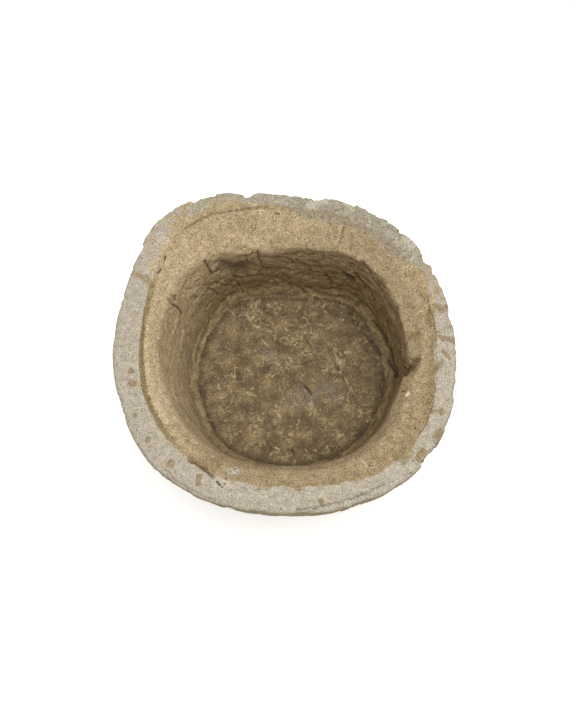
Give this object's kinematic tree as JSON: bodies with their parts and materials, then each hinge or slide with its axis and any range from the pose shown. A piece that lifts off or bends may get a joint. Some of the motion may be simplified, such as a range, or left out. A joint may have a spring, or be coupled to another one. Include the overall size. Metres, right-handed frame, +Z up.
{
  "type": "limestone trough",
  "caption": "Low round hand-cut stone trough with a stepped rim, a bevelled lip, a deep open hollow and mortar-filled pits and cracks in its worn rim.",
  "frame": {"origin": "middle of the trough's overall length and width, on the ground under its base", "axes": "+Z up out of the open hollow, +X to the right, -Y towards the front, where the viewer stands"},
  "size_m": [0.5663, 0.556, 0.32],
  "materials": {
    "limestone": "weathered hand-cut limestone, pale grey on the rim, tan on the ledge and lip, brown inside",
    "lime_mortar": "worn sandy lime mortar, matt"
  },
  "bodies": {
    "root": {"stone_block": "limestone", "left_mortar_seam": "lime_mortar", "left_upper_mortar_patch": "lime_mortar", "left_lower_mortar_patch": "lime_mortar", "front_left_small_mortar_patch": "lime_mortar", "front_left_square_mortar_patch": "lime_mortar", "front_left_ragged_mortar_patch": "lime_mortar", "front_mortar_patch": "lime_mortar", "front_right_step_mortar_patch": "lime_mortar", "front_right_edge_mortar_patch": "lime_mortar", "right_edge_mortar_patch": "lime_mortar", "right_lower_mortar_patch": "lime_mortar", "right_upper_mortar_patch": "lime_mortar", "right_lower_mortar_seam": "lime_mortar", "right_upper_mortar_seam": "lime_mortar"}
  },
  "joints": []
}
